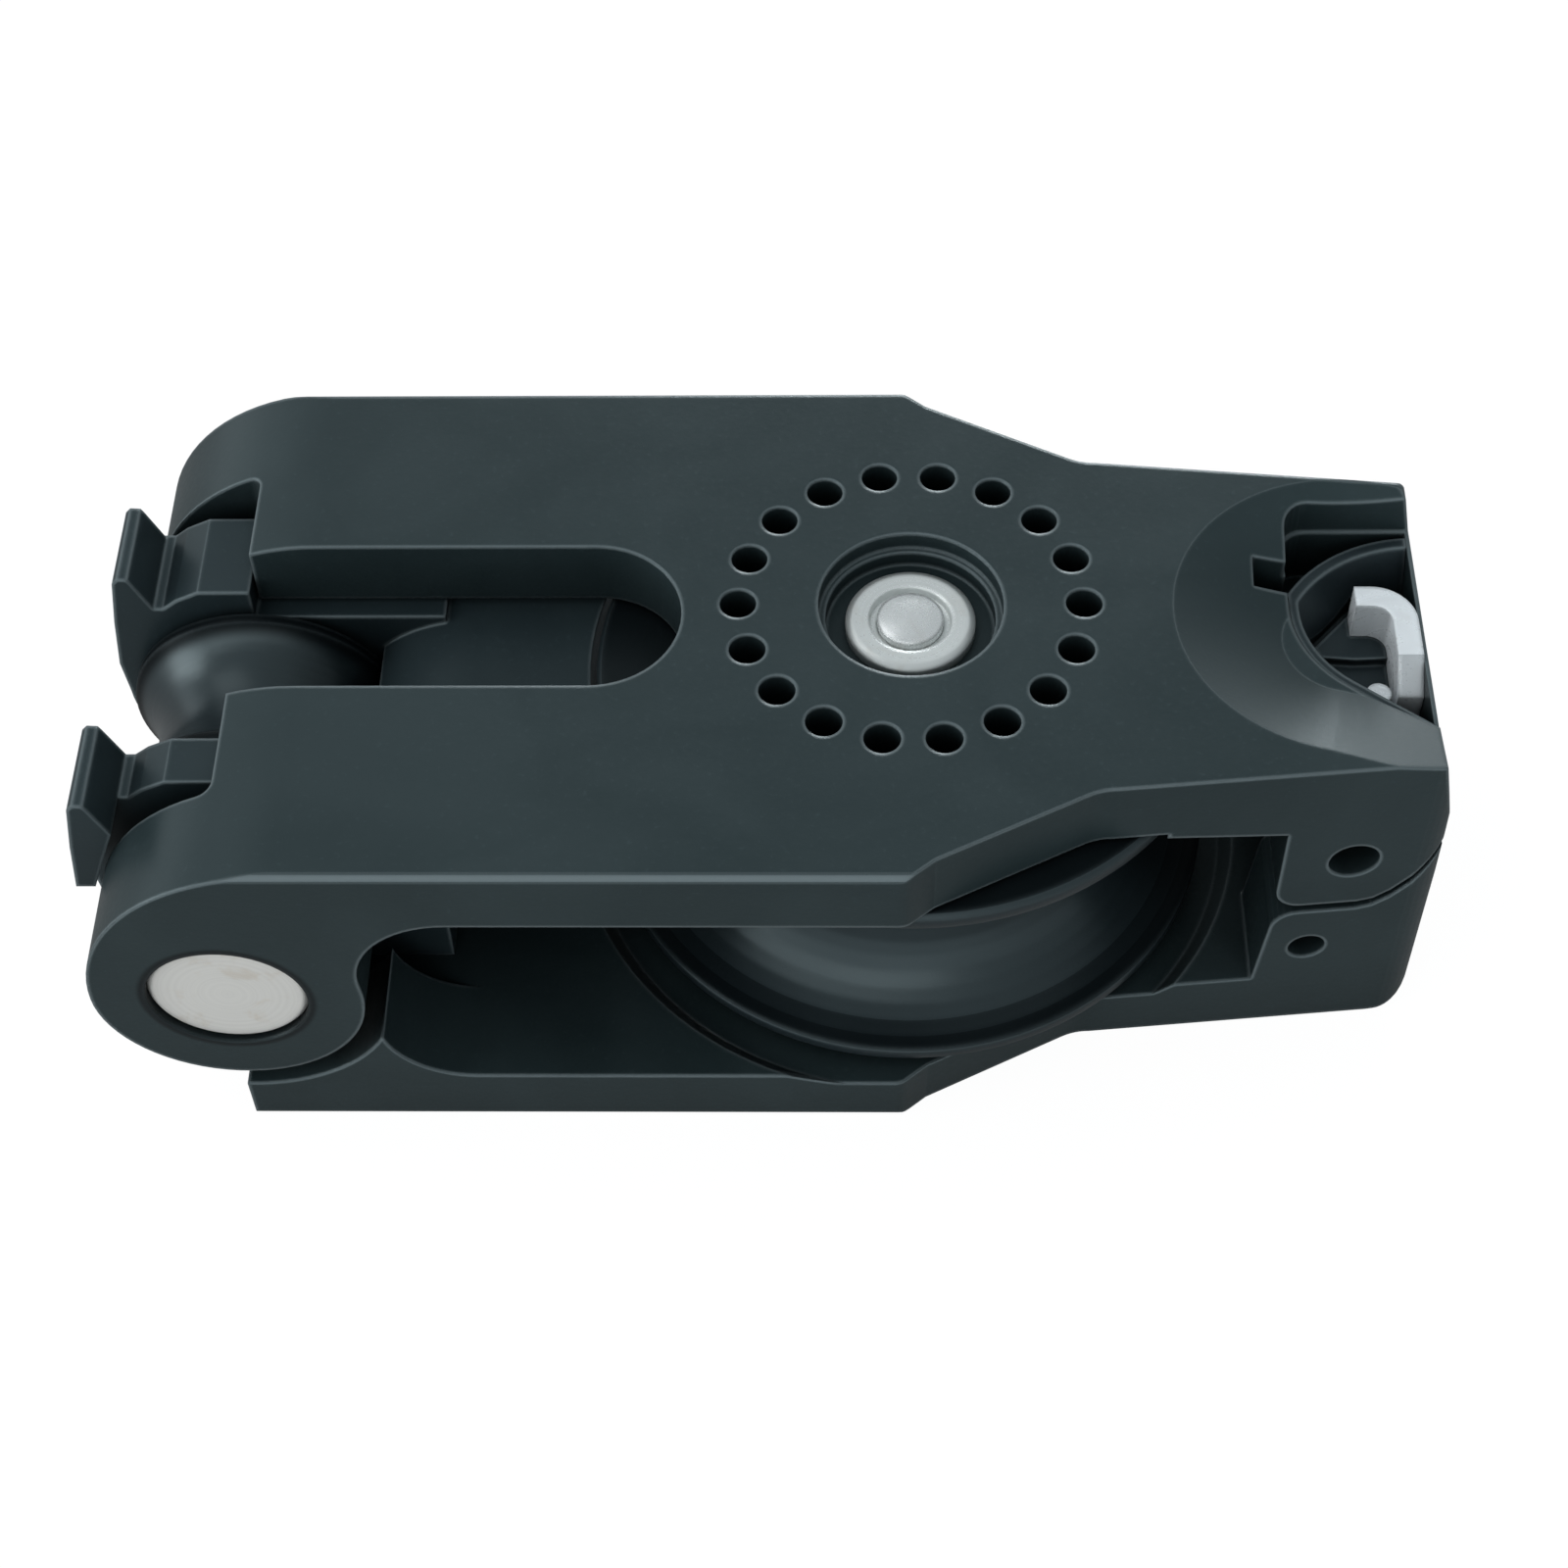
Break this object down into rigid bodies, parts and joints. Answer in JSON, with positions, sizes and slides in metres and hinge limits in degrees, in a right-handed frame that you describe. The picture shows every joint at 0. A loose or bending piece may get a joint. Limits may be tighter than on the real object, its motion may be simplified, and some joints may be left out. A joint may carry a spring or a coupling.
{
  "type": "stand-up block",
  "caption": "Flat boat block with a wide ball-bearing sheave between two moulded cheeks, a cross roller on a stout pin, a slotted top and a dished head with a steel clip.",
  "frame": {"origin": "centre of the bounding box's bottom face; the block lies on its lower cheek", "axes": "+X along the block from the roller to the head, +Y across it, +Z along the main axle, away from the lower cheek"},
  "size_m": [0.0856, 0.041, 0.027],
  "materials": {
    "cheek_plastic": "satin glass-filled nylon",
    "sheave_plastic": "smooth satin acetal",
    "insert_plastic": "satin",
    "steel": "polished stainless",
    "pin_steel": "turned stainless",
    "axle_aluminium": "clear anodised",
    "ball_plastic": "polished acetal",
    "liner_plastic": "smooth"
  },
  "bodies": {
    "block": {"upper_cheek": "cheek_plastic", "lower_cheek": "cheek_plastic", "sheave_hub": "ball_plastic", "axle_tube": "axle_aluminium", "axle_collar": "axle_aluminium", "axle_core": "steel", "pivot_pin": "pin_steel", "washer_near": "liner_plastic", "washer_far": "liner_plastic", "line_guide": "cheek_plastic", "guide_screws": "steel", "head_insert": "insert_plastic", "head_clip": "steel", "clip_pin": "steel", "head_screws": "steel"},
    "sheave": {"main_sheave": "sheave_plastic", "keeper_upper": "sheave_plastic", "keeper_lower": "sheave_plastic"},
    "ball_rows": {"balls_upper": "ball_plastic", "balls_lower": "ball_plastic"},
    "roller": {"line_roller": "sheave_plastic", "roller_liner": "liner_plastic"}
  },
  "joints": [
    {"name": "sheave_spin", "type": "hinge", "parent": "block", "child": "sheave", "pos_m": [0.00935, 0.0005, 0.01337], "axis": [0, 0, 1], "continuous": true},
    {"name": "balls_orbit", "type": "hinge", "parent": "block", "child": "ball_rows", "pos_m": [0.00935, 0.0005, 0.01337], "axis": [0, 0, 1], "continuous": true},
    {"name": "roller_spin", "type": "hinge", "parent": "block", "child": "roller", "pos_m": [-0.03305, -0.0019, 0.014], "axis": [0, 1, 0], "continuous": true}
  ],
  "couplings": [
    {"joint": "balls_orbit", "follows": "sheave_spin", "ratio": 0.58871}
  ]
}
